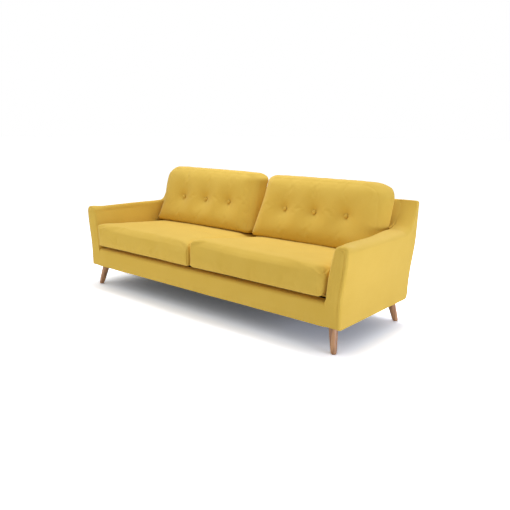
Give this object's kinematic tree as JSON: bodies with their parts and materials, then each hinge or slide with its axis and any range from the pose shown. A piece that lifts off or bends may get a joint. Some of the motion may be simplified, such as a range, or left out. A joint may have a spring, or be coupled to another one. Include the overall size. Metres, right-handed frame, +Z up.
{
  "type": "sofa with wooden legs",
  "caption": "Upholstered sofa with flared arms, loose seat cushions, buttoned loose back cushions and splayed round tapered wooden legs.",
  "frame": {"origin": "on the floor, below the middle of the whole sofa", "axes": "+X to the right as seen from the front, along the sofa; +Y from the front to the back; +Z up"},
  "size_m": [2.204, 0.8422, 0.8354],
  "materials": {
    "mustard_fabric": "plain fine-woven mustard yellow upholstery cloth, matte",
    "button_fabric": "the same cloth drawn over small tufting buttons",
    "leg_wood": "turned hardwood, oiled mid-brown, low sheen",
    "frame_timber": "planed softwood frame, unfinished",
    "former_plywood": "birch plywood, unfinished",
    "elastic_webbing": "dark woven elastic webbing",
    "lining_cloth": "thin black non-woven lining",
    "bolt_steel": "zinc-plated hanger bolt",
    "glide_plastic": "brown plastic floor glide"
  },
  "bodies": {
    "frame": {"back_centre_upright": "frame_timber", "back_lower_rail": "frame_timber", "back_strap_1": "elastic_webbing", "back_strap_2": "elastic_webbing", "back_strap_3": "elastic_webbing", "back_strap_4": "elastic_webbing", "back_top_rail": "frame_timber", "centre_stretcher": "frame_timber", "dust_cover": "lining_cloth", "front_border": "mustard_fabric", "front_left_corner_block": "frame_timber", "front_left_floor_glide": "glide_plastic", "front_left_leg": "leg_wood", "front_left_leg_bolt": "bolt_steel", "front_rail": "frame_timber", "front_right_corner_block": "frame_timber", "front_right_floor_glide": "glide_plastic", "front_right_leg": "leg_wood", "front_right_leg_bolt": "bolt_steel", "inside_back": "mustard_fabric", "left_arm_front_former": "former_plywood", "left_arm_rear_former": "former_plywood", "left_arm_top_rail": "frame_timber", "left_arm_upholstery": "mustard_fabric", "left_side_rail": "frame_timber", "outside_back": "mustard_fabric", "rear_left_corner_block": "frame_timber", "rear_left_floor_glide": "glide_plastic", "rear_left_leg": "leg_wood", "rear_left_leg_bolt": "bolt_steel", "rear_rail": "frame_timber", "rear_right_corner_block": "frame_timber", "rear_right_floor_glide": "glide_plastic", "rear_right_leg": "leg_wood", "rear_right_leg_bolt": "bolt_steel", "right_arm_front_former": "former_plywood", "right_arm_rear_former": "former_plywood", "right_arm_top_rail": "frame_timber", "right_arm_upholstery": "mustard_fabric", "right_side_rail": "frame_timber", "seat_cross_strap_1": "elastic_webbing", "seat_cross_strap_2": "elastic_webbing", "seat_deck": "mustard_fabric", "seat_strap_1": "elastic_webbing", "seat_strap_2": "elastic_webbing", "seat_strap_3": "elastic_webbing", "seat_strap_4": "elastic_webbing", "seat_strap_5": "elastic_webbing", "seat_strap_6": "elastic_webbing"},
    "left_seat": {"seat_cushion_left": "mustard_fabric"},
    "right_seat": {"seat_cushion_right": "mustard_fabric"},
    "left_back": {"back_cushion_left": "mustard_fabric", "back_button_left_1": "button_fabric", "back_button_left_2": "button_fabric", "back_button_left_3": "button_fabric"},
    "right_back": {"back_cushion_right": "mustard_fabric", "back_button_right_1": "button_fabric", "back_button_right_2": "button_fabric", "back_button_right_3": "button_fabric"}
  },
  "joints": [
    {"name": "left_seat_cushion_draws_out", "type": "slide", "parent": "frame", "child": "left_seat", "axis": [0, -0.9994, 0.0349], "range_m": [0, 0.72]},
    {"name": "left_back_cushion_lifts_out", "type": "slide", "parent": "frame", "child": "left_back", "axis": [0, 0.1908, 0.9816], "range_m": [0, 0.4]},
    {"name": "right_seat_cushion_draws_out", "type": "slide", "parent": "frame", "child": "right_seat", "axis": [0, -0.9994, 0.0349], "range_m": [0, 0.72]},
    {"name": "right_back_cushion_lifts_out", "type": "slide", "parent": "frame", "child": "right_back", "axis": [0, 0.1908, 0.9816], "range_m": [0, 0.4]}
  ]
}
